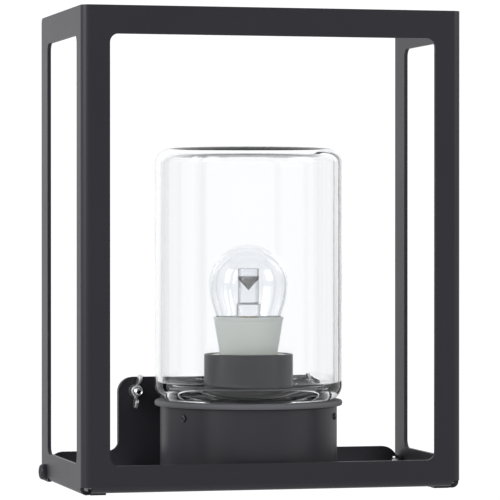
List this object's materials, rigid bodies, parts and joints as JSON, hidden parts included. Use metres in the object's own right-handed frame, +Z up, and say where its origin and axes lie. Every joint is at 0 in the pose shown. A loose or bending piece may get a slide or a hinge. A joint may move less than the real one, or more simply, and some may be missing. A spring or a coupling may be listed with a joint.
{
  "type": "outdoor wall lantern",
  "caption": "Outdoor wall lantern: open folded-sheet frame around a round base with a screw-in lamp under a clear glass jar, hung on a wall bracket.",
  "frame": {"origin": "on the wall plane, on the centre line, at the height of the two mounting studs, on the rear face of the wall bracket", "axes": "+Y into the wall, so the front faces -Y; +Z up; +X to the right seen from the front"},
  "size_m": [0.2338, 0.127, 0.28],
  "materials": {
    "graphite_coat": "fine-textured powder coat in graphite grey",
    "black_coat": "fine-textured powder coat, near black",
    "pot_coat": "smooth satin paint in graphite grey",
    "zinc_plate": "bright zinc plate",
    "rubber_grey": "moulded rubber, matte",
    "clear_glass": "clear pressed glass",
    "porcelain": "glazed porcelain, cream",
    "nickel_brass": "nickel-plated brass",
    "terminal_plastic": "moulded plastic, ivory",
    "wire_brown": "brown wire insulation",
    "wire_blue": "blue wire insulation",
    "wire_earth": "green and yellow wire insulation",
    "lamp_housing": "satin grey-green plastic",
    "lamp_clear": "clear polycarbonate",
    "board_white": "aluminium board with white solder mask",
    "led_yellow": "phosphor yellow",
    "driver_green": "green circuit board",
    "lamp_insulator": "black glassy insulator",
    "tip_plastic": "natural polyamide"
  },
  "bodies": {
    "lantern_body": {"frame": "graphite_coat", "back_plate": "black_coat", "wall_bracket": "black_coat", "mounting_studs": "zinc_plate", "frame_screws": "graphite_coat", "tab_nuts": "zinc_plate", "base_pot": "pot_coat", "shelf_screws": "zinc_plate", "standoffs": "zinc_plate", "carrier_plate": "pot_coat", "carrier_screws": "zinc_plate", "holder_collar": "pot_coat", "lampholder_body": "porcelain", "lampholder_shell": "nickel_brass", "lampholder_spring": "nickel_brass", "holder_screws": "zinc_plate", "terminal_block": "terminal_plastic", "terminal_screws": "zinc_plate", "live_wire": "wire_brown", "neutral_wire": "wire_blue", "earth_wire": "wire_earth", "earth_stud": "zinc_plate", "earth_tag": "nickel_brass", "earth_nut": "zinc_plate", "cable_bush": "rubber_grey", "glass_gasket": "rubber_grey"},
    "glass": {"glass_jar": "clear_glass"},
    "lamp_travel": {"lamp_globe": "lamp_clear"},
    "lamp": {"lamp_cone": "lamp_housing", "lamp_board": "board_white", "lamp_leds": "led_yellow", "lamp_light_guide": "lamp_clear", "lamp_driver": "driver_green", "lamp_cap": "nickel_brass", "lamp_insulator": "lamp_insulator", "lamp_contact": "nickel_brass"},
    "washer_left": {"lock_washer_left": "zinc_plate"},
    "wing_left": {"wing_nut_left": "zinc_plate"},
    "tip_left": {"set_tip_left": "tip_plastic"},
    "clamp_left": {"set_screw_left": "zinc_plate"},
    "washer_right": {"lock_washer_right": "zinc_plate"},
    "wing_right": {"wing_nut_right": "zinc_plate"},
    "tip_right": {"set_tip_right": "tip_plastic"},
    "clamp_right": {"set_screw_right": "zinc_plate"}
  },
  "joints": [
    {"name": "glass_lift", "type": "slide", "parent": "lantern_body", "child": "glass", "axis": [0, 0, 1], "range_m": [0, 0.26]},
    {"name": "lamp_rise", "type": "slide", "parent": "lantern_body", "child": "lamp_travel", "axis": [0, 0, 1], "range_m": [0, 0.02172]},
    {"name": "lamp_unscrew", "type": "hinge", "parent": "lamp_travel", "child": "lamp", "pos_m": [0, -0.065, 0.0455], "axis": [0, 0, 1], "range_deg": [0, 2160]},
    {"name": "wing_nut_left_travel", "type": "slide", "parent": "lantern_body", "child": "washer_left", "axis": [0, -1, 0], "range_m": [0, 0.0112]},
    {"name": "wing_nut_left_unscrew", "type": "hinge", "parent": "washer_left", "child": "wing_left", "pos_m": [-0.0565, -0.007, 0], "axis": [0, -1, 0], "range_deg": [0, 5760]},
    {"name": "set_screw_left_travel", "type": "slide", "parent": "lantern_body", "child": "tip_left", "axis": [-0.866, -0.5, 0], "range_m": [0, 0.0021]},
    {"name": "set_screw_left_unscrew", "type": "hinge", "parent": "tip_left", "child": "clamp_left", "pos_m": [-0.04144, -0.08893, -0.0122], "axis": [-0.866, -0.5, 0], "range_deg": [0, 1080]},
    {"name": "wing_nut_right_travel", "type": "slide", "parent": "lantern_body", "child": "washer_right", "axis": [0, -1, 0], "range_m": [0, 0.0112]},
    {"name": "wing_nut_right_unscrew", "type": "hinge", "parent": "washer_right", "child": "wing_right", "pos_m": [0.0565, -0.007, 0], "axis": [0, -1, 0], "range_deg": [0, 5760]},
    {"name": "set_screw_right_travel", "type": "slide", "parent": "lantern_body", "child": "tip_right", "axis": [0.866, -0.5, 0], "range_m": [0, 0.0021]},
    {"name": "set_screw_right_unscrew", "type": "hinge", "parent": "tip_right", "child": "clamp_right", "pos_m": [0.04144, -0.08893, -0.0122], "axis": [0.866, -0.5, 0], "range_deg": [0, 1080]}
  ],
  "couplings": [
    {"joint": "lamp_rise", "follows": "lamp_unscrew", "m_per_rad": 0.00057614},
    {"joint": "wing_nut_left_travel", "follows": "wing_nut_left_unscrew", "m_per_rad": 0.00011141},
    {"joint": "set_screw_left_unscrew", "follows": "set_screw_left_travel", "rad_per_m": 8976},
    {"joint": "wing_nut_right_travel", "follows": "wing_nut_right_unscrew", "m_per_rad": 0.00011141},
    {"joint": "set_screw_right_unscrew", "follows": "set_screw_right_travel", "rad_per_m": 8976}
  ]
}
